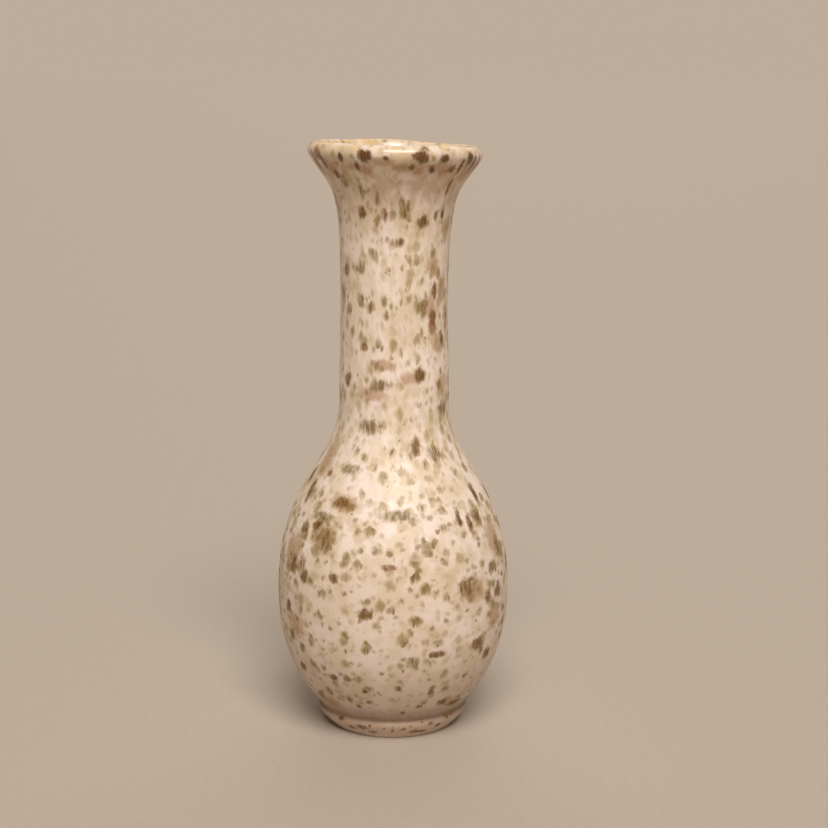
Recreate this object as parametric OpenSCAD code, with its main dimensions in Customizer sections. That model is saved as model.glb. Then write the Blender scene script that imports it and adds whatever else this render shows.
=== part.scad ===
// Ceramic bud vase: a round belly on a tapered foot, a long narrow neck and a flared mouth with a rounded lip.
// The clay is built up in sections that locate in one another with stepped laps, and the base is a plug.
// A speckled glaze coats the outside down to just above the table, and a liner glaze coats the inside.
// Millimetres, +Z up. The origin is on the table, at the centre of the foot.
// Every outside size is measured over the glaze.

/* [Overall] */
// Height of the whole vase
height = 200; // [166:1:240]
// Radius at the widest point of the belly
belly_r = 39.7; // [33:0.1:48]
// Height of the widest point of the belly
belly_z = 48; // [40:0.5:58]

/* [Foot] */
// Radius of the foot at its rounded top edge
foot_r = 26.2; // [22:0.1:31.5]
// How much the foot narrows towards the table
foot_taper = 4; // [1:0.1:5]
// Height of the foot, up to the crease under the belly
foot_h = 6.6; // [6:0.1:9]
// Radius of both outer edges of the foot
foot_edge_round = 1; // [0.8:0.1:1.3]
// Radius of the foot ring's inner bottom edge
foot_inner_round = 0.8; // [0.3:0.1:1.2]

/* [Belly] */
// How far the crease between the foot and the belly is set in from the foot's edge
crease_inset = 1.6; // [1:0.1:2]
// Angle at which the belly rises from the crease, from level
rise_angle = 47; // [40:1:52]
// How long the lower belly stays near its full width, as a share of its height
lower_fullness = 0.2; // [0.1:0.05:0.4]
// How long the upper belly stays near its full width, as a share of its height
upper_fullness = 0.575; // [0.4:0.025:0.65]
// How early the shoulder turns up into the neck, as a share of the same height
shoulder_sweep = 0.33; // [0.2:0.01:0.4]

/* [Neck] */
// Radius at the waist of the neck, its narrowest point
waist_r = 18.1; // [15:0.1:22]
// How much wider the neck is at its root than at its waist
root_swell = 0.5; // [0:0.1:1.5]
// Height of the shoulder, from the widest point of the belly to the root of the neck
shoulder_h = 65; // [54:0.5:78]
// Height of the neck from its root to its waist
neck_h = 28.5; // [20:0.5:35]
// Length of the neck section above the waist, as a share of the flare's height
neck_share = 0.3; // [0.15:0.05:0.4]

/* [Mouth] */
// Radius over the lip
lip_r = 29.1; // [24:0.1:35]
// Angle at which the flare meets the lip, from level
flare_angle = 56; // [45:1:68]
// How long the flare stays near the waist's width, as a share of its height
flare_hold = 0.85; // [0.6:0.05:0.95]
// How far the straight run under the lip reaches back, as a share of the flare's width
flare_run = 0.79; // [0.5:0.01:0.9]
// Radius of the lip's outer round
lip_outer_round = 3; // [2.4:0.1:3.6]
// Radius of the lip's inner round
lip_inner_round = 1.6; // [1:0.1:2.4]

/* [Clay and glaze] */
// Thickness of the clay wall
wall = 3.6; // [3:0.1:4.4]
// Thickness of the clay base
floor_t = 5.2; // [4:0.1:6.3]
// How far the base plug stands up into the belly, above its seat on the foot
plug_rise = 1.5; // [1:0.1:3]
// Width of the flat land between the base plug and the inside of the wall
base_land = 0.8; // [0.5:0.1:2]
// Width of the foot ring's ledge under the base plug
base_ledge = 1.9; // [1:0.1:3]
// Thickness of the outer glaze
glaze_t = 0.5; // [0.3:0.05:0.7]
// Thickness of the liner glaze
liner_t = 0.5; // [0.3:0.05:0.7]
// Height of the bare clay left under the outer glaze
bare_h = 1.6; // [1.2:0.1:2.5]
// Radius of the liner glaze in the corner between the base and the wall
cove_r = 3; // [1:0.5:4]

/* [Laps] */
// Height of the tongue in each lap
lap_h = 3; // [2:0.5:5]
// Radial clearance around each tongue and around the base plug
lap_gap = 0.15; // [0.05:0.05:0.4]

/* [Hidden] */
$fn = 128;
// Points along each free curve, and along each small round
curve_steps = 20;
round_steps = 8;
// A radius beyond every part of the vase
reach = 2 * max(belly_r, lip_r);
clay_colour = [0.80, 0.66, 0.56];
glaze_colour = [0.87, 0.80, 0.68];
liner_colour = [0.80, 0.68, 0.46];

// Depth of the clay's inner face and of the liner's face under the outside surface
clay_depth = glaze_t + wall;
liner_depth = clay_depth + liner_t;
// Heights of the clay foot's flat top, which carries the belly, and of the clay base's top and underside
seat_z = foot_h - glaze_t;
floor_z = seat_z + plug_rise;
well_z = floor_z - floor_t;
// Heights of the neck's root and waist, and the neck's radius at its root
neck_root_z = belly_z + shoulder_h;
waist_z = neck_root_z + neck_h;
neck_root_r = waist_r + root_swell;

// The lip is two rounds that share one crest
crest_r = lip_r - lip_outer_round;
lip_centre = [crest_r, height - lip_outer_round];
lip_inner_centre = [crest_r, height - lip_inner_round];
under_lip = lip_centre + lip_outer_round * [sin(flare_angle), -cos(flare_angle)];
// Thickness through the lip, glaze to liner, where both rounds begin
lip_t = lip_outer_round + lip_inner_round + (lip_outer_round - lip_inner_round) * cos(flare_angle);

// Control points of the free curves, from the crease up to the lip
rise = [cos(rise_angle), sin(rise_angle)];
crease = [foot_r - crease_inset, foot_h];
belly_span = belly_z - foot_h;
neck_third = neck_h / 3;
flare_span = under_lip[1] - waist_z;
flare_back = flare_run * (under_lip[0] - waist_r);
lower_curve = [
    crease,
    [belly_r, foot_h + (belly_r - crease[0]) * tan(rise_angle)],
    [belly_r, belly_z - lower_fullness * belly_span],
    [belly_r, belly_z]
];
function shoulder_curve(root_r) = [
    [belly_r, belly_z],
    [belly_r, belly_z + upper_fullness * shoulder_h],
    [root_r, neck_root_z - shoulder_sweep * shoulder_h],
    [root_r, neck_root_z]
];
function neck_curve(root_r) = [
    [root_r, neck_root_z],
    [root_r, neck_root_z + neck_third],
    [waist_r, waist_z - neck_third],
    [waist_r, waist_z]
];
mouth_curve = [
    [waist_r, waist_z],
    [waist_r, waist_z + flare_hold * flare_span],
    under_lip - flare_back * [1, tan(flare_angle)],
    under_lip
];

// A cubic Bezier's point and heading, and the unit normal that points from the outside surface into the clay
function bezier(c, t) =
    pow(1 - t, 3) * c[0] + 3 * t * pow(1 - t, 2) * c[1] + 3 * t * t * (1 - t) * c[2] + pow(t, 3) * c[3];
function heading(c, t) =
    pow(1 - t, 2) * (c[1] - c[0]) + 2 * t * (1 - t) * (c[2] - c[1]) + t * t * (c[3] - c[2]);
function inward(v) = [-v[1], v[0]] / norm(v);
function ease(t) = t * t * (3 - 2 * t);

// Points along a curve, set in by a depth that eases from d0 to d1
function set_in(c, d0, d1, first = 1) = [
    for (i = [first:curve_steps]) let (t = i / curve_steps)
        bezier(c, t) + (d0 + (d1 - d0) * ease(t)) * inward(heading(c, t))
];
function arc(centre, r, from, to, first = 0) = [
    for (i = [first:round_steps]) let (a = from + (to - from) * i / round_steps)
        centre + r * [cos(a), sin(a)]
];
function reversed(points) = [for (i = [len(points) - 1:-1:0]) points[i]];

// The crease's place at a depth, and where the wall's line through it meets a level
function crease_at(d) = crease + d * inward(rise);
function foot_of_wall(d, z) = crease_at(d) + (z - crease_at(d)[1]) / rise[1] * rise;

// The base plug's radius, the hole that it fits, and the foot ring's inner radius under its ledge
base_hole_r = foot_of_wall(clay_depth, floor_z)[0] - base_land;
base_r = base_hole_r - lap_gap;
foot_inner_r = base_r - base_ledge;

// The outside surface at a depth, from the crease to the crest of the lip
function outer_line(d) = concat(
    set_in(lower_curve, d, d, 0),
    set_in(shoulder_curve(neck_root_r), d, d),
    set_in(neck_curve(neck_root_r), d, d),
    set_in(mouth_curve, d, d),
    arc(lip_centre, lip_outer_round - d, flare_angle - 90, 90, 1)
);
// The inside surface at a depth under the outside one, from over the base to the crest of the lip.
// Its neck is a straight bore, and its wall thickens towards the lip.
function inner_line(d) = concat(
    set_in(lower_curve, d, d, 0),
    set_in(shoulder_curve(waist_r), d, d),
    set_in(mouth_curve, d, d + lip_t - liner_depth, 0),
    arc(lip_inner_centre, lip_inner_round - liner_depth + d, 90 + flare_angle, 90)
);

// Mid-wall radius of the clay at a height, where the laps are stepped
outer_radii = [for (p = outer_line(0)) [p[1], p[0]]];
function mid_r(z) = lookup(z, outer_radii) - glaze_t - wall / 2;
neck_top_z = waist_z + neck_share * flare_span;

// The foot's outline at a depth, filled to the axis. It stands on the table at every depth.
foot_top_centre = [foot_r - foot_edge_round, foot_h - foot_edge_round];
function foot_base_centre(d) = [foot_r - foot_taper - foot_edge_round, foot_edge_round - d];
function foot_lean(d) = let (run = foot_top_centre - foot_base_centre(d)) atan(run[0] / run[1]);
module foot_fill(d) {
    polygon(concat(
        [[0, 0]],
        arc(foot_base_centre(d), foot_edge_round - d, -90, -foot_lean(d)),
        arc(foot_top_centre, foot_edge_round - d, -foot_lean(d), 90),
        [[0, foot_h - d]]
    ));
}
// The whole outline at a depth, filled to the axis
module vase_fill(d) {
    foot_fill(d);
    polygon(concat(
        [[0, foot_h / 2], foot_of_wall(d, foot_h / 2)],
        outer_line(d),
        [[0, height - d]]
    ));
}

// The clay wall's section, from its seat on the foot to the crest of the lip
module clay_wall() {
    polygon(concat(
        [foot_of_wall(glaze_t, seat_z)],
        outer_line(glaze_t),
        reversed(inner_line(clay_depth)),
        [foot_of_wall(clay_depth, floor_z), [base_hole_r, floor_z], [base_hole_r, seat_z]]
    ));
}
// Everything under a lap, its tongue on the inner half of the wall included
module under_lap(z) {
    square([reach, z]);
    square([mid_r(z) - lap_gap / 2, z + lap_h - lap_gap]);
}
// Everything over a lap, less the rebate for the tongue
module over_lap(z) {
    difference() {
        translate([0, z]) square([reach, height]);
        square([mid_r(z) + lap_gap / 2, z + lap_h]);
    }
}

// The foot ring's inner bottom edge is rounded, and its rebate takes the base plug
module foot_ring() {
    edge = foot_inner_r + foot_inner_round;
    color(clay_colour) rotate_extrude() difference() {
        foot_fill(glaze_t);
        polygon(concat(
            [[0, -1], [edge, -1]],
            arc([edge, foot_inner_round], foot_inner_round, 270, 180),
            [[foot_inner_r, well_z], [base_hole_r, well_z], [base_hole_r, foot_h], [0, foot_h]]
        ));
    }
}
module base_disc() {
    color(clay_colour) translate([0, 0, well_z]) cylinder(r = base_r, h = floor_t);
}
module lower_belly() {
    color(clay_colour) rotate_extrude() intersection() {
        clay_wall();
        under_lap(belly_z);
    }
}
module upper_belly() {
    color(clay_colour) rotate_extrude() intersection() {
        clay_wall();
        over_lap(belly_z);
        under_lap(neck_root_z);
    }
}
module neck() {
    color(clay_colour) rotate_extrude() intersection() {
        clay_wall();
        over_lap(neck_root_z);
        under_lap(neck_top_z);
    }
}
module mouth_flare() {
    color(clay_colour) rotate_extrude() intersection() {
        clay_wall();
        over_lap(neck_top_z);
    }
}
module outer_glaze() {
    color(glaze_colour) rotate_extrude() difference() {
        vase_fill(0);
        vase_fill(glaze_t);
        square([reach, bare_h]);
        translate([0, height - 2 * glaze_t]) square([crest_r, 3 * glaze_t]);
    }
}
// The liner's corner over the base is a round that touches the base and the wall's line
module inner_glaze() {
    wall_foot = crease_at(liner_depth);
    base_z = floor_z + liner_t;
    up_wall = (base_z + cove_r - wall_foot[1] - cove_r * rise[0]) / rise[1];
    cove_centre = wall_foot + cove_r * inward(rise) + up_wall * rise;
    color(liner_colour) rotate_extrude() polygon(concat(
        [[0, floor_z], foot_of_wall(clay_depth, floor_z)],
        inner_line(clay_depth),
        reversed(inner_line(liner_depth)),
        arc(cove_centre, cove_r, rise_angle - 90, -90),
        [[0, base_z]]
    ));
}

foot_ring();
base_disc();
lower_belly();
upper_belly();
neck();
mouth_flare();
outer_glaze();
inner_glaze();
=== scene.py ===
"""The looks of a ceramic bud vase: a speckled glaze over the outside and the lip, a honey-cream liner glaze
inside, and bare clay at the foot's edge and under it. Metres, +Z up, standing on z = 0, front towards -Y."""

import math

import bpy
import numpy as np
from mathutils import Matrix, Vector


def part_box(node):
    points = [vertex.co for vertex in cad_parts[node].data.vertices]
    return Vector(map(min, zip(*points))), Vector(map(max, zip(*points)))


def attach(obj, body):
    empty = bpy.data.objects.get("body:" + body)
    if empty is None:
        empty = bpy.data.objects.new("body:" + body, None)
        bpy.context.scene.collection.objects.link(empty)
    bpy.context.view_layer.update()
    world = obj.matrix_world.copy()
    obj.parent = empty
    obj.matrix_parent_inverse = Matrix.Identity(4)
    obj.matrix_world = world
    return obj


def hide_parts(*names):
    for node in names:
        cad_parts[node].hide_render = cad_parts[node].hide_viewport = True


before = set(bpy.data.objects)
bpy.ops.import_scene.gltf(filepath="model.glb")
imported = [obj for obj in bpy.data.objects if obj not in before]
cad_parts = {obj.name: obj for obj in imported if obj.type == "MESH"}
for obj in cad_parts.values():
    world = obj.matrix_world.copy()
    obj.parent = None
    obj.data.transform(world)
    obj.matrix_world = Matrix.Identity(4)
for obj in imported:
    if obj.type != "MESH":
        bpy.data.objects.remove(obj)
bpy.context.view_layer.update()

MM = 0.001
SIDES = 240                      # corners round every glaze ring
ANGLES = np.arange(SIDES) * 2 * math.pi / SIDES
SAME = 0.01 * MM                 # corners nearer than this are taken as one

# Rings on the even part of each coat's open face, and on its hidden face
COAT_RINGS = (300, 56)
LINER_RINGS = (200, 50)

# Heights of the part, and the thickness of its glaze
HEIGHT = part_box("outer_glaze")[1].z
GLAZE_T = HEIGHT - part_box("mouth_flare")[1].z
FOOT_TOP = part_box("foot_ring")[1].z + GLAZE_T
NECK_ROOT_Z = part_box("neck")[0].z
FLARE_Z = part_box("mouth_flare")[0].z

# The outline is walked in steps of STEP, and its corners are rounded over SOFT, and over POOL round the foot
STEP = 0.1 * MM
SOFT = 0.45 * MM
POOL = 0.85 * MM

# The speckled glaze goes a little way into the mouth, and its edge there dips to meet the liner
INSIDE_RUN = 9 * MM
GROOVE = 0.7 * MM
DIP = 0.3                        # share of the glaze's thickness


# ---------------------------------------------------------------- outlines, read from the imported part

def ease(t):
    """0 up to t = 0 and 1 from t = 1, with a smooth rise between."""
    t = np.clip(t, 0, 1)
    return t * t * (3 - 2 * t)


def rings_of(node):
    """The (radius, height) of each ring of corners of a revolved node, and which rings its edges join."""
    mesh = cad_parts[node].data
    places = np.array([v.co for v in mesh.vertices])
    places = np.column_stack([np.hypot(places[:, 0], places[:, 1]), places[:, 2]])
    found, owner = [], {}
    ring_of = np.empty(len(places), int)
    for i, place in enumerate(places):
        key = tuple(np.round(place / SAME).astype(int))
        if key not in owner:
            around_key = [(key[0] + a, key[1] + b) for a in (-1, 0, 1) for b in (-1, 0, 1)]
            near = [owner[k] for k in around_key if k in owner]
            owner[key] = near[0] if near else len(found)
            if not near:
                found.append(place)
        ring_of[i] = owner[key]
    joined = [set() for _ in found]
    for edge in mesh.edges:
        a, b = (ring_of[v] for v in edge.vertices)
        if a != b:
            joined[a].add(b)
            joined[b].add(a)
    return np.array(found), joined


def run_down(node):
    """A glaze node's open face, as (radius, height) points from the crest of the lip to its lowest end."""
    rings, joined = rings_of(node)
    crest = int(np.argmax(rings[:, 1]))
    bottom = rings[:, 1].min()
    run = [crest, max(joined[crest], key=lambda k: rings[k, 1])]
    while rings[run[-1], 1] > bottom + SAME:
        here = rings[run[-1]]
        ahead = [k for k in joined[run[-1]] if k not in run and rings[k, 1] <= here[1] + SAME]
        if not ahead:
            break
        run.append(min(ahead, key=lambda k: np.hypot(*(rings[k] - here))))
    return rings[run]


def by_length(points, step):
    """The polyline again, with a point at every step of its length."""
    length = np.concatenate([[0], np.cumsum(np.hypot(*np.diff(points, axis=0).T))])
    at = np.linspace(0, length[-1], int(length[-1] / step) + 1)
    return np.column_stack([np.interp(at, length, points[:, i]) for i in (0, 1)])


def softened(points, width):
    """The polyline with its corners rounded over a width, as a fired glaze flows; its ends stay put."""
    step = np.hypot(*(points[1] - points[0]))
    reach = int(3 * width / step)
    weights = np.exp(-0.5 * (np.arange(-reach, reach + 1) * step / width) ** 2)
    weights /= weights.sum()
    before = 2 * points[0] - points[reach:0:-1]
    after = 2 * points[-1] - points[-2:-reach - 2:-1]
    padded = np.vstack([before, points, after])
    return np.column_stack([np.convolve(padded[:, i], weights, "valid") for i in (0, 1)])


def pooled(points, softer):
    """The outline, taken over to a softer one round the foot, where the glaze pools in the crease."""
    share = 1 - ease((points[:, 1] - 9 * MM) / (4 * MM))
    share *= ease((points[:, 1] - 2 * MM) / (2 * MM)) * (points[:, 0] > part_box("base_disc")[1].x)
    return points + share[:, None] * (softer - points)


class Skin:
    """The glazed surface's outline, from the glaze's lower edge over the lip and down to the middle of the
    base."""

    def __init__(self):
        outside = run_down("outer_glaze")[::-1]
        inside = run_down("inner_glaze")
        base = np.array([[0, inside[-1, 1]]])
        points = by_length(np.vstack([outside, inside[1:], base]), STEP)
        points = pooled(softened(points, SOFT), softened(points, POOL))
        self.points = points
        self.length = np.concatenate([[0], np.cumsum(np.hypot(*np.diff(points, axis=0).T))])
        self.total = self.length[-1]
        heading = np.gradient(points, axis=0)
        heading /= np.hypot(*heading.T)[:, None]
        self.outward = np.column_stack([heading[:, 1], -heading[:, 0]])
        turn = np.abs(np.gradient(np.unwrap(np.arctan2(heading[:, 1], heading[:, 0])), self.length))
        self.turn = np.convolve(turn, np.ones(11) / 11, "same")
        self.crest = self.length[int(np.argmax(points[:, 1]))]

    def at(self, s, depth=0.0):
        """Radius and height at a length s along the outline and a depth under the surface."""
        r, z, out_r, out_z = (np.interp(s, self.length, column)
                              for column in (*self.points.T, *self.outward.T))
        return r - depth * out_r, z - depth * out_z

    def spread(self, start, end, count, fineness=1.5 * MM):
        """count lengths from start to end, closer together where the outline turns."""
        s = np.linspace(start, end, 4000)
        crowd = np.cumsum(1 + np.minimum(np.interp(s, self.length, self.turn) * fineness, 3))
        return np.interp(np.linspace(crowd[0], crowd[-1], count), crowd, s)


skin = Skin()


# ---------------------------------------------------------------- the hand of the maker

def waves(angle, height, seed, count, turns, tall):
    """A smooth random field round the vase, about -1 to 1: the sum of count waves, each with up to turns
    cycles round it and at least tall from one crest up to the next."""
    rng = np.random.default_rng(seed)
    total = 0
    for _ in range(count):
        cycles = rng.integers(1, turns + 1)
        climb = rng.uniform(-1, 1) * 2 * math.pi / tall
        total = total + np.sin(cycles * angle + climb * height + rng.uniform(0, 2 * math.pi))
    return total / math.sqrt(count)


def around(angle, centre, width):
    """A soft bump round the vase, 1 at a compass angle in degrees from the front, towards +X."""
    offset = (np.degrees(angle) + 90 - centre + 180) % 360 - 180
    return np.exp(-0.5 * (offset / width) ** 2)


RIM_TILT = 0.015                 # the rim drops towards +X by this slope
RIM_SAG = 0.85 * MM              # and sags a little more at the right and behind


def shaped(x, y, z):
    """Points with the unevenness of a handmade vase: a faint wobble, and a rim that isn't quite level."""
    angle = np.arctan2(y, x)
    radius = np.hypot(x, y)
    low = ease((z - FOOT_TOP) / (12 * MM))
    broad = 0.10 * MM * waves(angle, z, 11, 6, 3, 60 * MM)
    fine = 0.03 * MM * waves(angle, z, 12, 10, 9, 14 * MM)
    wobble = low * (broad + fine)
    grown = 1 + wobble / np.maximum(radius, 12 * MM)
    top = ease((z - FLARE_Z) / (HEIGHT - FLARE_Z))
    sag = RIM_SAG * around(angle, 115, 42)
    dip = top * (RIM_TILT * x + sag - 0.12 * MM * waves(angle, z, 13, 4, 5, 1))
    return np.stack([x * grown, y * grown, z - dip], -1)


def foot_edge(angle):
    """How far the glaze's lower edge runs from its level, up the foot."""
    return 0.22 * MM * waves(angle, 0, 21, 7, 11, 1)


def liner_edge(angle):
    """Where the speckled glaze ends inside the mouth, as a length along the outline."""
    return skin.crest + INSIDE_RUN + 0.9 * MM * waves(angle, 0, 22, 8, 9, 1)


# ---------------------------------------------------------------- meshes

def ring_points(s, depth):
    """Points of the rings at lengths s and depths, both of shape (rings, SIDES), in the frame."""
    r, z = skin.at(s, depth)
    return shaped(r * np.cos(ANGLES), r * np.sin(ANGLES), z)


def corners_of(*corners):
    """Map places of many faces, from one (u, v) for each corner, where u or v may be many."""
    return np.stack([np.column_stack(np.broadcast_arrays(u, v)) for u, v in corners], 1).reshape(-1, 2)


def revolved(name, rings, along, poles=None):
    """A closed mesh through rings of points. The last ring joins the first, or with poles, two points on the
    axis, the first pole closes the first ring and the last pole the last. along runs 0 to 1 over the rings,
    and lays out the mesh's unwrapped map."""
    count = len(rings)
    index = np.arange(count * SIDES).reshape(count, SIDES)
    after = np.roll(index, -1, axis=1)
    u0 = np.arange(SIDES) / SIDES
    u1 = u0 + 1 / SIDES
    faces, maps = [], []
    for k in range(count - 1 if poles else count):
        up = (k + 1) % count
        v0, v1 = along[k], along[k + 1]
        faces += np.column_stack([index[k], after[k], after[up], index[up]]).tolist()
        maps.append(corners_of((u0, v0), (u1, v0), (u1, v1), (u0, v1)))
    points = rings.reshape(-1, 3)
    if poles:
        first_pole, last_pole = len(points), len(points) + 1
        points = np.vstack([points, poles])
        middle = (u0 + u1) / 2
        faces += [[first_pole, after[0, j], index[0, j]] for j in range(SIDES)]
        maps.append(corners_of((middle, 0), (u1, along[0]), (u0, along[0])))
        faces += [[last_pole, index[-1, j], after[-1, j]] for j in range(SIDES)]
        maps.append(corners_of((middle, 1), (u0, along[-1]), (u1, along[-1])))
    mesh = bpy.data.meshes.new(name)
    mesh.from_pydata(points.tolist(), [], faces)
    layer = mesh.uv_layers.new(name="OFBake")
    layer.uv.foreach_set("vector", np.vstack(maps).astype(np.float32).ravel())
    mesh.shade_smooth()
    mesh.update()
    piece = bpy.data.objects.new(name, mesh)
    bpy.context.scene.collection.objects.link(piece)
    return piece


def note(piece, name, kind, values):
    """Writes a value for each vertex, which the materials read by name."""
    field = {"FLOAT": "value", "FLOAT_VECTOR": "vector"}[kind]
    made = piece.data.attributes.new(name, kind, "POINT")
    made.data.foreach_set(field, np.asarray(values, np.float32).ravel())


def laid_out(front, back):
    """Where each ring lies on the unwrapped map: the open face takes most of it, the hidden face a strip."""
    strip = 0.04
    front_share = (front - front[0]) / (front[-1] - front[0])
    back_share = (back - back[0]) / (back[-1] - back[0])
    return np.concatenate([front_share * (1 - strip), 1 - strip + back_share * strip, [1.0]])


def to_uneven_edges(s):
    """The lengths s all round, moved near the speckled coat's two ends to follow its uneven edges."""
    inner = skin.crest + INSIDE_RUN
    at_foot = 1 - ease(s / (5 * MM))
    at_lip = ease((s - inner + 6 * MM) / (6 * MM))
    return s[:, None] + at_foot[:, None] * foot_edge(ANGLES) + at_lip[:, None] * (liner_edge(ANGLES) - inner)


def speckled_coat():
    """The speckled glaze: from a rounded edge near the table, up the outside, over the lip and a little way
    in."""
    bead = 0.5 * MM                                  # length over which its lower edge rounds off
    inner = skin.crest + INSIDE_RUN
    lower_edge = np.array([0, 0.02, 0.08, 0.2, 0.4, 0.7]) * bead
    inner_edge = inner - GROOVE * np.array([0.66, 0.33, 0.1, 0])
    front = np.concatenate([lower_edge, skin.spread(bead, inner - GROOVE, COAT_RINGS[0]), inner_edge])
    rounding = 1 - np.sqrt(1 - np.clip(1 - front / bead, 0, 1) ** 2)
    dipping = DIP * np.clip(1 - (inner - front) / GROOVE, 0, 1) ** 2
    front_depth = (GLAZE_T * np.maximum(rounding, dipping))[:, None] * np.ones(SIDES)
    back = skin.spread(0, inner, COAT_RINGS[1])[::-1][:-1]     # the last would repeat the front's first
    back_s = to_uneven_edges(back)
    s = np.vstack([to_uneven_edges(front), back_s])
    depth = np.vstack([front_depth, np.full_like(back_s, GLAZE_T)])
    piece = revolved("speckled_coat", ring_points(s, depth), laid_out(front, back[::-1]))
    note(piece, "place", "FLOAT_VECTOR", pattern_place(s))
    for name, marks in MARKS.items():
        note(piece, name, "FLOAT", marked(s, marks))
    return piece


def liner_coat():
    """The liner glaze: from the speckled coat's inner edge down the bore and over the base."""
    start = skin.crest + INSIDE_RUN
    end = skin.total - 0.6 * MM                      # the last ring stays this far from the axis
    outer_edge = start + GROOVE * np.array([0, 0.1, 0.33, 0.66])
    front = np.concatenate([outer_edge, skin.spread(start + GROOVE, end, LINER_RINGS[0])])
    back = skin.spread(start, end, LINER_RINGS[1])[::-1]
    uneven = liner_edge(ANGLES) - start
    front_s, back_s = (s[:, None] + (1 - ease((s - start) / (6 * MM)))[:, None] * uneven
                       for s in (front, back))
    dipping = DIP * np.clip(1 - (front - start) / GROOVE, 0, 1) ** 2
    s = np.vstack([back_s, front_s])
    depth = np.vstack([np.full_like(back_s, GLAZE_T), (GLAZE_T * dipping)[:, None] * np.ones(SIDES)])
    base_z = skin.points[-1, 1]
    poles = [[0, 0, base_z - GLAZE_T], [0, 0, base_z]]
    strip = 0.05                                     # the map's share for the hidden face
    along = np.concatenate([np.linspace(0.3 * strip, strip, len(back)),
                            strip + (front - front[0]) / (skin.total - front[0]) * (1 - strip)])
    piece = revolved("liner_coat", ring_points(s, depth), along, poles)
    note(piece, "place", "FLOAT_VECTOR", np.vstack([pattern_place(s).reshape(-1, 3), poles]))
    return piece


def mouth_clay():
    """The clay of the mouth, under both glazes, with the rim's unevenness."""
    rings, joined = rings_of("mouth_flare")
    run = [int(np.argmax(rings[:, 1]))]
    run.append(min(joined[run[0]], key=lambda k: rings[k, 0]))
    while True:
        ahead = [k for k in joined[run[-1]] if k not in run]
        if not ahead:
            break
        run.append(min(ahead, key=lambda k: np.hypot(*(rings[k] - rings[run[-1]]))))
    outline = rings[run]
    area = np.sum(outline[:, 0] * np.roll(outline[:, 1], -1) - outline[:, 1] * np.roll(outline[:, 0], -1))
    outline = outline if area > 0 else outline[::-1]
    r, z = (outline[:, i, None] * np.ones(SIDES) for i in (0, 1))
    along = np.linspace(0, 1, len(outline) + 1)
    return revolved("mouth_clay", shaped(r * np.cos(ANGLES), r * np.sin(ANGLES), z), along)


# ---------------------------------------------------------------- where the pattern lies

PATTERN_R = 28 * MM              # the pattern is at its own width where the vase has this radius
SHOULDER_Z = 80 * MM             # the flecks grow taller from here up to the neck

# How far the pattern rises for each metre along the outline: the less it is, the taller the flecks
BELLY_PACE = 0.88
NECK_PACE = 0.72
INSIDE_PACE = 0.8


def pattern_place(s):
    """Each point's place in the pattern: round a drum a little slimmer than the belly and wider than the
    neck, and up it along the outline, so that flecks are slimmer on the neck and stand tall everywhere."""
    along = np.linspace(0, skin.total, 2000)
    z = np.interp(along, skin.length, skin.points[:, 1])
    outside = along < skin.crest
    tall = ease((z - SHOULDER_Z) / (NECK_ROOT_Z - SHOULDER_Z))
    tall = tall * (1 - 0.4 * ease((z - FLARE_Z) / (30 * MM)))    # a little less so on the flare
    pace = np.where(outside, BELLY_PACE - (BELLY_PACE - NECK_PACE) * tall, INSIDE_PACE)
    up = np.concatenate([[0], np.cumsum(pace[1:] * np.diff(along))])
    drum = np.sqrt(PATTERN_R * np.maximum(skin.at(s)[0], 0))
    return np.stack([drum * np.cos(ANGLES), drum * np.sin(ANGLES), np.interp(s, along, up)], -1)


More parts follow.
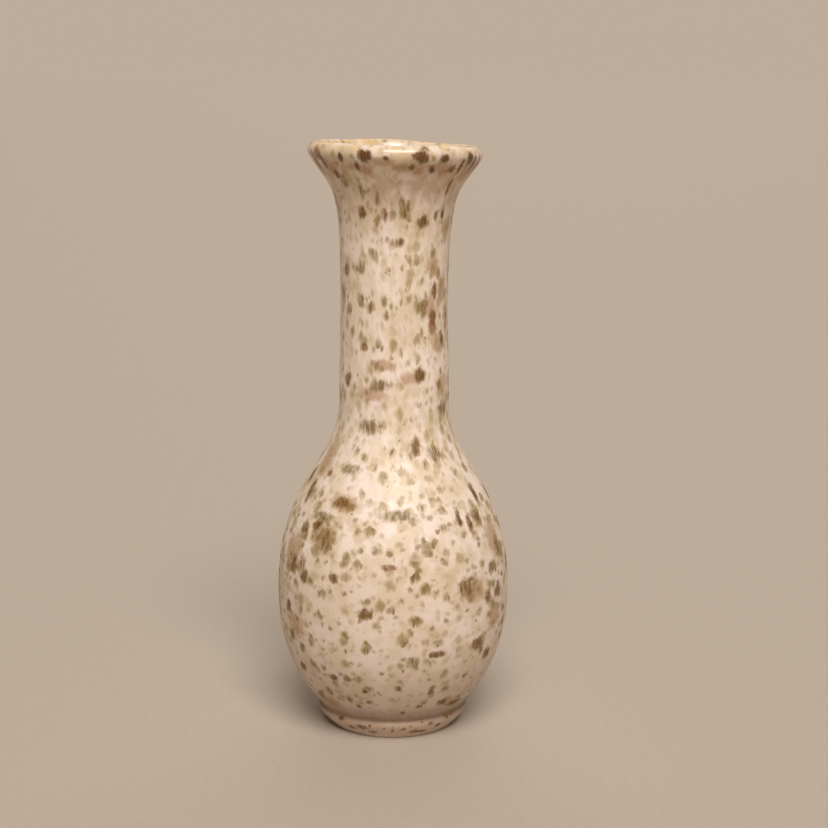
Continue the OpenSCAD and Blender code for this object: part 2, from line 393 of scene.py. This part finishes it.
# Marks in the glaze, listed one by one: degrees round from the front, towards +X; then the height, the half
# width and the half height in mm
MARKS = {
    "olive_marks": [
        (-17, 121, 3.4, 1.9), (-25, 107, 4.0, 2.6), (38, 98, 3.0, 2.4), (-35, 93.5, 3.8, 1.6),
        (2, 80.5, 6.0, 1.9), (-45, 78, 4.6, 1.8), (54, 77, 2.6, 3.4), (-39, 71, 3.8, 3.5),
        (39, 56, 4.0, 3.3), (-52, 61.5, 2.0, 3.4), (10, 32, 2.1, 2.4), (-36, 160, 1.4, 2.4),
        (-24, 4.2, 2.6, 1.1), (31, 5.5, 1.6, 0.7), (-30, 185, 1.0, 3.2), (-16, 183, 0.8, 2.6),
        (6, 181, 1.0, 2.4), (-46, 188, 1.6, 2.6), (-14, 16, 1.3, 0.8), (-40, 18, 1.8, 1.4),
        (-52, 14, 2.2, 1.6), (60, 112, 2.2, 2.6), (-60, 158.5, 1.6, 2.4), (-55, 146, 1.3, 2.2),
        (-38, 149, 1.2, 2.2), (30, 146.7, 1.8, 2.4), (11, 179, 1.4, 2.8), (-95, 62, 4.4, 3.4),
        (112, 70, 4.6, 3.2), (-140, 78, 5.0, 2.8), (165, 60, 4.0, 3.6), (-118, 104, 4.0, 2.2),
        (132, 110, 3.4, 2.4), (-170, 40, 3.6, 3.0), (90, 36, 3.6, 2.6), (-105, 32, 3.4, 2.4),
        (-165, 145, 2.2, 2.6),
    ],
    "brown_marks": [
        (-20, 196.4, 2.4, 2.0), (17, 196.4, 2.8, 2.1), (33, 195.8, 1.8, 1.6), (57, 196, 2.0, 2.2),
        (-33, 178, 1.4, 2.2), (28, 175, 2.1, 2.2), (5, 168.5, 1.2, 1.5), (46, 152, 1.3, 2.8),
        (28, 124.5, 1.9, 2.4), (20, 101, 1.6, 2.8), (-34, 83, 3.5, 1.7), (-30, 59.5, 1.8, 1.6),
        (-13, 49, 2.7, 2.1), (53, 51, 1.8, 2.6), (22, 34.5, 3.2, 1.2), (47, 35, 3.2, 2.4),
        (33, 14.5, 2.1, 1.3), (45, 12.5, 3.2, 1.3), (17, 14.0, 1.1, 0.9), (7, 11.5, 0.9, 0.9),
        (-33, 24.5, 1.6, 1.3), (3, 22.5, 1.1, 1.2), (-15, 20.5, 1.2, 0.9), (-22, 13.5, 0.8, 0.8),
        (22, 20, 1.0, 1.0), (-16, 2.5, 1.8, 0.7), (18, 2.7, 2.0, 0.8), (25, 2.4, 1.4, 0.7),
        (8, 4.2, 1.1, 0.6), (-6, 4.6, 0.6, 0.6), (-34, 3.4, 1.6, 0.9), (38, 4.0, 1.2, 0.8),
        (14, 5.4, 0.5, 0.5), (-17, 5.4, 0.7, 0.6), (46, 6.2, 1.0, 0.7), (0, 3.5, 0.5, 0.8),
        (-43, 6.0, 1.3, 0.8), (-6, 196, 0.9, 0.9), (43, 192.5, 1.6, 1.2), (64, 195, 0.7, 3.0),
        (72, 195, 0.7, 3.0), (50, 187, 0.8, 3.6), (-58, 194, 1.2, 2.6), (-70, 194, 1.4, 3.0),
        (-50, 190, 1.4, 1.6), (63, 51.7, 2.0, 3.0), (57, 60, 1.6, 2.2), (40, 78, 1.1, 3.0),
        (47, 75.5, 1.2, 3.6), (57, 30, 2.2, 2.2), (-49, 58, 1.6, 2.6), (-59, 61, 1.6, 3.2),
        (-60, 36, 1.8, 2.0), (-57, 25, 1.8, 1.6), (-62, 46, 1.6, 2.2), (44, 143.5, 1.5, 2.4),
        (60, 135.5, 0.9, 2.4), (52, 177.5, 0.9, 2.0), (43, 177, 0.8, 1.6), (-56, 122, 1.6, 2.6),
        (-78, 88, 1.6, 3.0), (82, 58, 2.4, 3.2), (-84, 52, 2.2, 3.4), (88, 82, 2.0, 3.0),
        (-100, 70, 3.0, 2.2), (104, 92, 2.6, 2.0), (120, 48, 2.4, 2.8), (-128, 96, 3.2, 2.0),
        (140, 74, 3.4, 2.6), (-150, 56, 2.8, 2.6), (168, 88, 2.4, 3.0), (-172, 62, 3.0, 2.4),
        (-110, 150, 1.6, 2.6), (150, 165, 1.6, 2.4), (100, 130, 1.6, 2.8), (-160, 120, 2.0, 2.6),
        (96, 196, 2.4, 2.0), (150, 196.5, 2.4, 2.0), (-140, 196, 2.8, 2.0), (-102, 196.5, 1.8, 2.0),
        (-27, 193, 1.0, 1.6), (-38, 195.5, 1.2, 1.4), (26, 192.5, 1.2, 1.4), (50, 193.5, 1.0, 2.4),
        (11, 193, 0.9, 1.2), (-47, 75, 1.8, 2.0), (-56, 73, 1.8, 2.6), (68, 66, 1.8, 3.4),
        (62, 84, 1.3, 3.4), (-66, 84, 1.5, 3.4),
    ],
    "rust_marks": [
        (-62, 196.5, 2.4, 2.2), (44, 140, 1.8, 2.6), (-10, 177.5, 1.2, 2.2), (-34, 133.5, 1.6, 1.3),
        (-2, 64.5, 2.6, 1.0), (-54, 91, 1.2, 1.3), (53, 7.2, 2.4, 1.0), (-78, 195.5, 1.6, 2.4),
    ],
    "stain_marks": [
        (-8, 195, 3.8, 1.6), (4, 193, 2.6, 1.6), (36, 192.5, 4.4, 2.4), (-22, 192, 3.0, 1.4),
        (-52, 192.5, 3.4, 2.6), (60, 191, 3.0, 2.6), (17, 191.5, 2.2, 1.2), (-30, 83, 6.0, 2.6),
        (-40, 72, 5.0, 4.5), (42, 55, 5.0, 4.5), (-62, 64, 5.0, 7.0), (64, 70, 4.0, 7.0),
        (-66, 95, 4.0, 6.0), (60, 44, 4.0, 5.0), (-55, 40, 4.5, 4.5), (-12, 128, 4.0, 2.0),
        (18, 123.5, 4.0, 2.2), (40, 147, 2.6, 4.6), (44, 160, 3.0, 3.4), (60, 152, 2.4, 5.0),
        (54, 134, 3.0, 3.6), (57, 120, 3.0, 4.5), (62, 172, 2.4, 4.0), (70, 142, 2.4, 5.0),
        (-68, 150, 2.0, 5.0), (38, 14, 5.0, 1.8), (-44, 13, 4.5, 2.0), (-24, 118, 5.0, 2.6),
    ],
}


MARK_FADE = 0.7                  # a mark is half as strong at its half width or half height


def marked(s, marks):
    """A soft bump, 1 at the middle, for each mark."""
    r, z = skin.at(s)
    outside = s < skin.crest + 1 * MM
    total = np.zeros_like(r)
    for turn, height, half_width, half_height in marks:
        offset = (np.degrees(ANGLES) + 90 - turn + 180) % 360 - 180
        wide = np.radians(offset) * r / (half_width * MM)
        high = (z - height * MM) / (half_height * MM)
        total = np.maximum(total, outside * np.exp(-MARK_FADE * (wide ** 2 + high ** 2)))
    return total


# ---------------------------------------------------------------- materials

GLAZE_IOR = 1.5
CELL_BLEND = 0.35                # how far neighbouring cells of a pattern run together, which rounds flecks


def paint(code):
    """A colour as a shader takes it, from its usual six-figure code."""
    parts = [int(code[i:i + 2], 16) / 255 for i in (0, 2, 4)]
    return (*((p / 12.92) if p <= 0.04045 else ((p + 0.055) / 1.055) ** 2.4 for p in parts), 1.0)


class Graph:
    """A material under construction. Its methods add nodes and return what those put out."""

    def __init__(self, name):
        self.material = bpy.data.materials.new(name)
        self.material.use_nodes = True
        self.tree = self.material.node_tree
        self.tree.nodes.clear()

    def feed(self, socket, value):
        if isinstance(value, bpy.types.NodeSocket):
            self.tree.links.new(value, socket)
        else:
            socket.default_value = value

    def node(self, kind, inputs=(), **settings):
        made = self.tree.nodes.new("ShaderNode" + kind)
        for name, value in settings.items():
            setattr(made, name, value)
        for name, value in dict(inputs).items():
            self.feed(made.inputs[name], value)
        return made

    def attribute(self, name):
        made = self.node("Attribute", attribute_name=name)
        return made.outputs["Vector"], made.outputs["Fac"]

    def height(self):
        """Height above the table as a share of the vase's."""
        place = self.node("TexCoord").outputs["Object"]
        z = self.node("SeparateXYZ", {"Vector": place}).outputs["Z"]
        return self.maths("DIVIDE", z, HEIGHT)

    def maths(self, operation, *values):
        return self.node("Math", dict(enumerate(values)), operation=operation).outputs[0]

    def in_turn(self, operation, first, *others):
        for other in others:
            first = self.maths(operation, first, other)
        return first

    def times(self, *values):
        return self.in_turn("MULTIPLY", *values)

    def plus(self, *values):
        return self.in_turn("ADD", *values)

    def either(self, *values):
        """The largest of several."""
        return self.in_turn("MAXIMUM", *values)

    def smooth(self, value, low, high, to_low=0.0, to_high=1.0):
        """value eased from to_low, at low, to to_high, at high."""
        limits = {"From Min": low, "From Max": high, "To Min": to_low, "To Max": to_high}
        made = self.node("MapRange", {"Value": value, **limits}, interpolation_type="SMOOTHSTEP")
        return made.outputs["Result"]

    def vectors(self, operation, a, b):
        return self.node("VectorMath", {0: a, 1: b}, operation=operation).outputs[0]

    def scaled(self, vector, x, y, z):
        return self.vectors("MULTIPLY", vector, (x, y, z))

    def moved(self, vector, x=0.0, y=0.0, z=0.0):
        by = self.node("CombineXYZ", {"X": x, "Y": y, "Z": z}).outputs[0]
        return self.vectors("ADD", vector, by)

    def stirred(self, vector, by, size, detail=1):
        """The place, moved about by up to a length, in swirls of a size."""
        noise = self.node("TexNoise", {"Vector": vector, "Scale": 1 / size, "Detail": detail})
        centred = self.vectors("SUBTRACT", noise.outputs["Color"], (0.5, 0.5, 0.5))
        push = self.node("VectorMath", {0: centred, "Scale": 2 * by}, operation="SCALE").outputs[0]
        return self.vectors("ADD", vector, push)

    def noise(self, vector, size, detail=2.0, roughness=0.5):
        look = {"Scale": 1 / size, "Detail": detail, "Roughness": roughness}
        return self.node("TexNoise", {"Vector": vector, **look}).outputs["Fac"]

    def cells(self, vector, size):
        """Distance from the nearest of scattered points, in sizes; three random numbers; and that point's
        place. All of them blend from one point's to the next."""
        look = {"Scale": 1 / size, "Smoothness": CELL_BLEND}
        made = self.node("TexVoronoi", {"Vector": vector, **look}, feature="SMOOTH_F1")
        chance = self.node("SeparateColor", {"Color": made.outputs["Color"]})
        return made.outputs["Distance"], chance.outputs, made.outputs["Position"]

    def mix(self, share, a, b):
        """Colour a with a share of colour b over it."""
        made = self.node("Mix", data_type="RGBA")
        for name, value in (("Factor", share), ("A", a), ("B", b)):
            sockets = [i for i in made.inputs if i.name == name and i.enabled]
            self.feed(sockets[0], value)
        return [o for o in made.outputs if o.enabled][0]

    def painted(self, colour, *coats):
        """The colour with others laid over it in turn, each given as its share and its code."""
        for share, code in coats:
            colour = self.mix(share, colour, paint(code))
        return colour

    def by_height(self, height, stops):
        """A number that follows the height, from (height in mm, value) stops."""
        ramp = self.node("ValToRGB", {"Fac": height})
        ramp.color_ramp.interpolation = "EASE"
        elements = ramp.color_ramp.elements
        first, *between, last = [(level * MM / HEIGHT, (value, value, value, 1)) for level, value in stops]
        elements[0].position, elements[0].color = first
        elements[1].position, elements[1].color = last
        for level, grey in between:
            elements.new(level).color = grey
        return ramp.outputs["Color"]

    def finish(self, colour, roughness, relief, relief_height, **constants):
        """The shader itself. relief runs 0 to 1 over relief_height metres."""
        bump = self.node("Bump", {"Strength": 1.0, "Distance": relief_height, "Height": relief})
        surface = {"Base Color": colour, "Roughness": roughness, "Normal": bump.outputs["Normal"]}
        shader = self.node("BsdfPrincipled", surface)
        for name, value in constants.items():
            shader.inputs[name.replace("_", " ")].default_value = value
        output = self.node("OutputMaterial")
        self.tree.links.new(shader.outputs["BSDF"], output.inputs["Surface"])
        return self.material


def combed(g, place):
    """Fine upright streaks, how far they push the pattern up or down, and the place that they push it to.
    They comb the edges of some of the flecks."""
    streak = g.noise(g.scaled(place, 1, 1, 0.14), 0.8 * MM, 1.0)
    where = g.smooth(g.noise(place, 13 * MM, 1.0), 0.42, 0.62, 0.2, 1.0)
    push = g.times(g.plus(streak, -0.5), where, 2.4 * MM)
    run = g.stirred(g.moved(place, z=push), 0.6 * MM, 2.4 * MM, 1)
    return streak, push, run


def large_flecks(g, run, grain, coverage):
    """Flecks of 2 to 5 mm, one to a cell, some cells bare: their inside, the pale halo round them, the
    darker head of each, and two random numbers for each."""
    distance, chance, centre = g.cells(run, 3.2 * MM)
    size = g.times(g.smooth(chance[0], 0.1, 0.9, 0.1, 0.66), g.plus(g.times(coverage, 0.6), 0.4))
    inside = g.plus(g.maths("SUBTRACT", size, distance), g.times(g.plus(grain, -0.5), 0.5))
    fleck = g.smooth(inside, -0.14, 0.42)
    halo = g.smooth(inside, -0.3, 0.12)
    rise = g.node("SeparateXYZ", {"Vector": g.vectors("SUBTRACT", run, centre)}).outputs["Z"]
    head = g.smooth(rise, -1.6 * MM, 1.0 * MM)
    return fleck, halo, head, chance[1], chance[2]


def small_flecks(g, place, push, coverage):
    """Smaller flecks between the large ones, and a random number for each."""
    aside = g.stirred(g.moved(place, x=0.013, z=g.times(push, 0.6)), 0.5 * MM, 1.6 * MM)
    distance, chance, _ = g.cells(aside, 2.0 * MM)
    size = g.times(g.smooth(chance[0], 0.25, 1.0, -0.1, 0.68), coverage)
    return g.smooth(g.maths("SUBTRACT", size, distance), -0.12, 0.46), chance[1]


def pin_specks(g, place):
    """Pin-sized dark specks."""
    distance, chance, _ = g.cells(g.stirred(place, 0.3 * MM, 0.9 * MM), 2.1 * MM)
    size = g.smooth(chance[0], 0.88, 1.0, -0.05, 0.3)
    return g.smooth(g.maths("SUBTRACT", size, distance), -0.03, 0.18)


def placed_marks(g, run):
    """The listed marks, with ragged edges, in the order of MARKS."""
    ragged = g.times(g.plus(g.noise(run, 1.8 * MM, 2.0, 0.6), -0.5), 0.9)
    masks = []
    for name in MARKS:
        _, value = g.attribute(name)
        frayed = g.plus(value, g.times(ragged, g.smooth(value, 0.05, 0.4)))
        masks.append(g.smooth(frayed, 0.25, 0.85))
    return masks


def glaze_ground(g, height, place, run, low):
    """The glaze between the flecks: cream-white with softer tan runs, darkened and browned low down with
    painted shade, pinker on the foot and darkened there with painted shade, pooled in the crease and
    darkened there with painted shade, stained and darkened with painted shade at the throat, and honey along
    the lip."""
    mottle = g.noise(g.scaled(run, 1, 1, 0.8), 6 * MM, 3.0, 0.55)
    cloud = g.noise(place, 26 * MM, 1.0)
    foot = g.by_height(height, [(0, 1), (5.8, 1), (7.0, 0), (200, 0)])
    crease = g.by_height(height, [(0, 0), (4.4, 0), (5.8, 0.5), (7.1, 1), (10, 0.6), (14.5, 0)])
    throat = g.by_height(height, [(165, 0), (186, 0.6), (193, 0.85), (196, 0.3), (200, 0)])
    lip = g.by_height(height, [(194, 0), (197.5, 0.35), (199.3, 1), (200, 1)])
    stain = g.smooth(g.noise(run, 5 * MM, 3.0), 0.38, 0.62, 0.4, 0.95)
    honey = g.smooth(g.noise(place, 5 * MM, 2.0), 0.42, 0.62, 0.1, 0.75)
    return g.painted(
        paint("f6e9e1"),
        (g.smooth(mottle, 0.40, 0.64), "e6d7c3"),
        (g.smooth(cloud, 0.4, 0.7, 0.0, 0.3), "dccdb4"),
        # painted shade: the lower belly and foot darkened and browned, standing in for the shade low down on
        # the vase
        (g.times(low, 0.52), "9c7c5e"),
        # the foot's own pinkish-grey glaze, made darker to stand in for shade: part real colour, part
        # painted shade
        (g.times(foot, 0.55), "c6aa9a"),
        # part glaze pooled in the crease, part painted shade over the downward-facing belly above it and
        # over the foot's lit top ledge
        (g.times(crease, 0.68), "70563f"),
        # part brown staining, part painted shade under the lip and down the throat
        (g.times(throat, stain), "a67a4e"),
        (g.times(lip, honey), "dfbe78"),
    )


def speckled_glaze():
    """Cream-white glaze that broke into olive-brown flecks as it ran."""
    g = Graph("speckled_glaze")
    place, _ = g.attribute("place")
    height = g.height()
    streak, push, run = combed(g, place)
    grain = g.noise(run, 1.4 * MM, 2.0, 0.55)

    coverage = g.by_height(height, [
        (0, 0.2), (7, 0.25), (10, 0.5), (18, 0.75), (30, 0.8), (45, 0.95), (75, 1.0),
        (105, 0.88), (150, 0.9), (175, 0.8), (184, 0.5), (194, 0.3), (200, 0.5),
    ])
    strength = g.by_height(height, [(0, 1), (70, 1), (86, 0.6), (108, 0.6), (125, 0.95), (200, 1)])
    # low also marks where glaze_ground paints shade, darkening and browning the lower belly and foot
    low = g.by_height(height, [(0, 0.6), (7, 1), (14, 0.9), (42, 0.4), (85, 0)])
    bead = g.by_height(height, [(192.5, 0), (195.5, 1), (200, 1)])
    faint = g.plus(g.times(low, -0.9), 1.0)          # the paler halos and patches fade low down

    fleck, halo, head, olive_chance, umber_chance = large_flecks(g, run, grain, coverage)
    small, small_chance = small_flecks(g, place, push, coverage)
    pin = pin_specks(g, place)
    patch = g.smooth(g.noise(run, 7 * MM, 3.0, 0.6), 0.5, 0.66)
    olive_mark, brown_mark, rust_mark, stain_mark = placed_marks(g, run)

    tone = g.times(fleck, g.plus(g.times(head, 0.4), g.times(g.smooth(streak, 0.5, 0.68), 0.7)))
    teeth = g.smooth(streak, 0.42, 0.62)
    colour = g.painted(
        glaze_ground(g, height, place, run, low),
        (g.times(halo, faint, 0.5), "d8c5a0"),
        (g.times(patch, faint, 0.38), "bfac84"),
        (g.times(stain_mark, 0.62), "a87c4c"),
        (g.times(fleck, strength, g.smooth(olive_chance, 0.0, 1.0, 0.15, 0.95)), "94804e"),
        (g.times(tone, g.smooth(umber_chance, 0.2, 1.0, 0.05, 0.8)), "623f12"),
        (g.times(small, strength, g.smooth(small_chance, 0.0, 1.0, 0.15, 0.85)), "84682f"),
        (g.times(olive_mark, g.smooth(grain, 0.3, 0.65, 0.5, 0.9)), "968154"),
        (g.times(olive_mark, teeth, 0.6), "623f12"),
        (g.times(brown_mark, g.smooth(grain, 0.3, 0.65, 0.75, 1.0)), "82602f"),
        (g.times(brown_mark, teeth, 0.6), "54360c"),
        (g.times(brown_mark, bead, 0.6), "5a3006"),
        (g.times(rust_mark, g.smooth(grain, 0.3, 0.65, 0.6, 0.95)), "906034"),
        (g.times(rust_mark, teeth, 0.5), "6a3d1e"),
        (g.times(pin, 0.65), "6a4418"),
    )

    dark = g.either(fleck, small, g.either(brown_mark, olive_mark))
    satin = g.smooth(g.noise(place, 3 * MM, 2.0), 0.3, 0.7, 0.38, 0.48)
    shine = g.plus(g.times(bead, -0.22), g.times(low, 0.12))     # glossier on the lip, duller low down
    roughness = g.plus(g.times(dark, 0.08), satin, shine)
    orange_peel = g.noise(place, 2.4 * MM, 2.0)
    relief = g.plus(g.times(orange_peel, 0.5), g.plus(g.times(dark, -0.25), g.times(pin, -0.5)))
    return g.finish(colour, roughness, relief, 0.05 * MM, IOR=GLAZE_IOR)


def liner_glaze():
    """Honey-cream glaze that thins to tan, with a few soft brown flecks."""
    g = Graph("liner_glaze")
    place, _ = g.attribute("place")
    height = g.height()
    cloud = g.noise(place, 12 * MM, 3.0)
    streak = g.noise(g.scaled(place, 1, 1, 0.12), 1.1 * MM, 1.0)
    run = g.stirred(g.moved(place, z=g.times(streak, 3 * MM)), 0.8 * MM, 3 * MM)
    distance, chance, _ = g.cells(run, 4.6 * MM)
    size = g.times(g.smooth(chance[0], 0.3, 1.0, 0.0, 0.6), g.by_height(height, [(60, 0.15), (200, 1.0)]))
    fleck = g.smooth(g.maths("SUBTRACT", size, distance), -0.08, 0.3)
    colour = g.painted(
        paint("e8d3ae"),
        (g.smooth(cloud, 0.35, 0.65), "cfae78"),
        (g.times(fleck, 0.7), "8a6a3c"),
    )
    roughness = g.smooth(g.noise(place, 3 * MM, 2.0), 0.3, 0.7, 0.2, 0.3)
    return g.finish(colour, roughness, g.noise(place, 2.4 * MM, 2.0), 0.03 * MM, IOR=GLAZE_IOR)


def bare_clay():
    """Fired buff clay: fine-grained and matt, with dark iron specks and fine turning rings."""
    g = Graph("bare_clay")
    ring_gap = 0.9 * MM
    place = g.node("TexCoord").outputs["Object"]
    grain = g.noise(place, 0.5 * MM, 4.0, 0.7)
    cloud = g.noise(place, 9 * MM, 2.0)
    distance, chance, _ = g.cells(place, 1.6 * MM)
    size = g.smooth(chance[0], 0.8, 1.0, -0.05, 0.3)
    iron = g.smooth(g.maths("SUBTRACT", size, distance), 0.0, 0.08)
    colour = g.painted(
        paint("e0cbba"),
        (g.smooth(cloud, 0.35, 0.65), "d3b8a3"),
        (g.smooth(grain, 0.4, 0.7, 0.0, 0.4), "b59c86"),
        (g.times(iron, 0.7), "5f4028"),
    )
    across = g.node("SeparateXYZ", {"Vector": place}).outputs
    squares = [g.maths("POWER", across[axis], 2.0) for axis in ("X", "Y")]
    radius = g.maths("SQRT", g.plus(*squares))
    turning = g.maths("SINE", g.times(radius, 2 * math.pi / ring_gap))
    relief = g.plus(g.times(grain, 0.8), g.times(turning, 0.12))
    roughness = g.smooth(grain, 0.3, 0.7, 0.72, 0.9)
    return g.finish(colour, roughness, relief, 0.12 * MM)


def floor_material():
    """A plain pale tabletop."""
    g = Graph("pale_floor")
    place = g.node("TexCoord").outputs["Object"]
    grain = g.noise(place, 2 * MM, 3.0)
    colour = g.painted(paint("b7aea3"), (g.smooth(grain, 0.3, 0.7), "bbb2a7"))
    return g.finish(colour, 0.6, grain, 0.02 * MM)


# ---------------------------------------------------------------- camera, lights and floor

CAMERA_PLACE = (0, -0.5939, 0.2227)
CAMERA_TURN = 0.658              # degrees to the right
CAMERA_DOWN = 10.911             # degrees below level
CAMERA_ROLL = 0.429              # degrees anticlockwise
CAMERA_LENS = 77.07              # mm, on a sensor 36 mm wide


def camera():
    """Standing about 0.6 m in front and just above the rim, looking down a little and slightly right."""
    data = bpy.data.cameras.new("camera")
    data.lens = CAMERA_LENS
    data.sensor_width = 36
    made = bpy.data.objects.new("camera", data)
    turn = Matrix.Rotation(-math.radians(CAMERA_TURN), 4, "Z")
    down = Matrix.Rotation(math.pi / 2 - math.radians(CAMERA_DOWN), 4, "X")
    roll = Matrix.Rotation(math.radians(CAMERA_ROLL), 4, "Z")
    made.matrix_world = Matrix.Translation(CAMERA_PLACE) @ (turn @ down @ roll)
    bpy.context.scene.collection.objects.link(made)
    bpy.context.scene.camera = made


def soft_sun(name, towards, strength, angle, colour):
    """An even light from far away in a direction, as broad as an angle in degrees, as a large softbox is."""
    data = bpy.data.lights.new(name, "SUN")
    data.energy = strength
    data.angle = math.radians(angle)
    data.color = paint(colour)[:3]
    made = bpy.data.objects.new(name, data)
    made.location = towards
    made.rotation_euler = (-made.location).to_track_quat("-Z", "Y").to_euler()
    bpy.context.scene.collection.objects.link(made)


def studio():
    """A soft key light in front, a weak one behind, and a sky that gets dimmer and warmer upwards."""
    soft_sun("key", (0.12, -1.0, 1.3), 3.15, 34, "fff5ec")
    soft_sun("back", (0.1, 1.0, 1.0), 0.6, 60, "fff0e0")
    world = bpy.data.worlds.new("studio")
    bpy.context.scene.world = world
    world.use_nodes = True
    tree = world.node_tree
    direction = tree.nodes.new("ShaderNodeSeparateXYZ")
    tree.links.new(tree.nodes.new("ShaderNodeTexCoord").outputs["Generated"], direction.inputs[0])
    sky = tree.nodes.new("ShaderNodeValToRGB")
    tree.links.new(direction.outputs["Z"], sky.inputs["Fac"])
    stops = sky.color_ramp.elements
    stops[0].position, stops[0].color = 0.04, paint("bfad9b")    # as pale as the floor at the horizon
    stops[1].position, stops[1].color = 0.55, paint("463c31")
    stops.new(0.25).color = paint("836f59")
    tree.links.new(sky.outputs["Color"], tree.nodes["Background"].inputs["Color"])
    bpy.context.scene.view_settings.view_transform = "Standard"


def floor():
    """A level floor that runs out of sight on all sides."""
    reach = 40.0
    mesh = bpy.data.meshes.new("floor")
    corners = [(-reach, -reach, 0), (reach, -reach, 0), (reach, reach, 0), (-reach, reach, 0)]
    mesh.from_pydata(corners, [], [(0, 1, 2, 3)])
    made = bpy.data.objects.new("floor", mesh)
    bpy.context.scene.collection.objects.link(made)
    made.data.materials.append(floor_material())


# ---------------------------------------------------------------- assembly

camera()
studio()
floor()

clay = bare_clay()
coat = speckled_coat()
coat.data.materials.append(speckled_glaze())
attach(coat, "root")
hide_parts("outer_glaze")

liner = liner_coat()
liner.data.materials.append(liner_glaze())
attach(liner, "root")
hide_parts("inner_glaze")

mouth = mouth_clay()
mouth.data.materials.append(clay)
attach(mouth, "root")
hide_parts("mouth_flare")

for name in ("foot_ring", "base_disc", "lower_belly", "upper_belly", "neck"):
    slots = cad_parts[name].material_slots
    for slot in slots:
        slot.material = clay
    if not slots:
        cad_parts[name].data.materials.append(clay)
